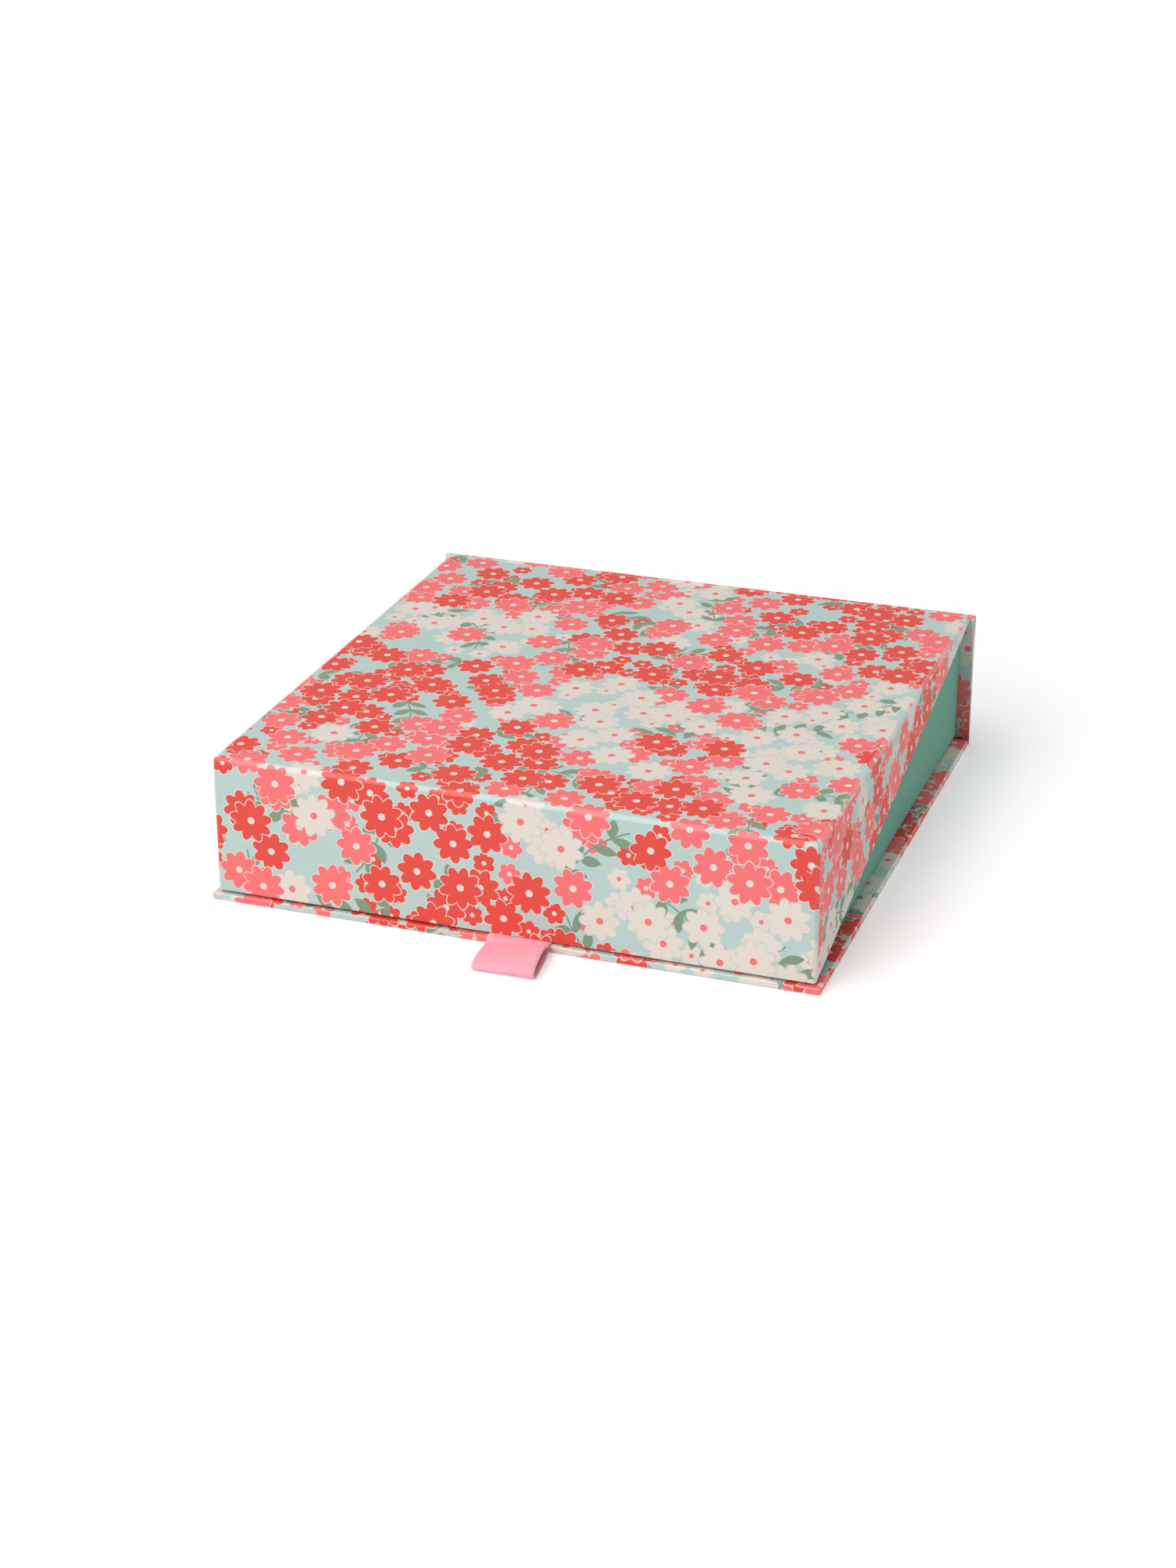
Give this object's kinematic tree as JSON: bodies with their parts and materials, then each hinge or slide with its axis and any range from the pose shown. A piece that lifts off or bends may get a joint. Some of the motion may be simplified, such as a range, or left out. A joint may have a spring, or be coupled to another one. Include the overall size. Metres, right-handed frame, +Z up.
{
  "type": "hinged keepsake box",
  "caption": "Flat paper-covered board box with a tray on a base and spine, and a wedge-sided lid shell that opens on a paper hinge by a ribbon pull.",
  "frame": {"origin": "middle of the underside of the base", "axes": "+X to the right, +Y from the front wall to the spine, +Z up"},
  "size_m": [0.216, 0.2417, 0.053],
  "materials": {
    "greyboard": "matt recycled greyboard",
    "printed_paper": null,
    "green_paper": "matt green paper",
    "stay_tape": "gummed kraft paper tape",
    "pink_ribbon": "woven satin ribbon with a fine rib"
  },
  "bodies": {
    "base": {"base_board": "greyboard", "spine_board": "greyboard", "tray_floor_board": "greyboard", "tray_front_board": "greyboard", "tray_back_board": "greyboard", "tray_left_board": "greyboard", "tray_right_board": "greyboard", "base_wrap": "printed_paper", "spine_wrap": "printed_paper", "hinge_strip": "printed_paper", "tray_wrap": "green_paper", "tray_floor_lining": "green_paper", "tray_corner_stays": "stay_tape"},
    "lid": {"lid_top_board": "greyboard", "lid_front_board": "greyboard", "lid_left_board": "greyboard", "lid_right_board": "greyboard", "lid_corner_stays": "stay_tape", "lid_wrap": "printed_paper", "lid_lining": "green_paper", "ribbon_pull": "pink_ribbon"}
  },
  "joints": [
    {"name": "lid_hinge", "type": "hinge", "parent": "base", "child": "lid", "pos_m": [0, 0.1088, 0.0536], "axis": [-1, 0, 0], "range_deg": [0, 190], "deforming": ["hinge_strip"]}
  ]
}
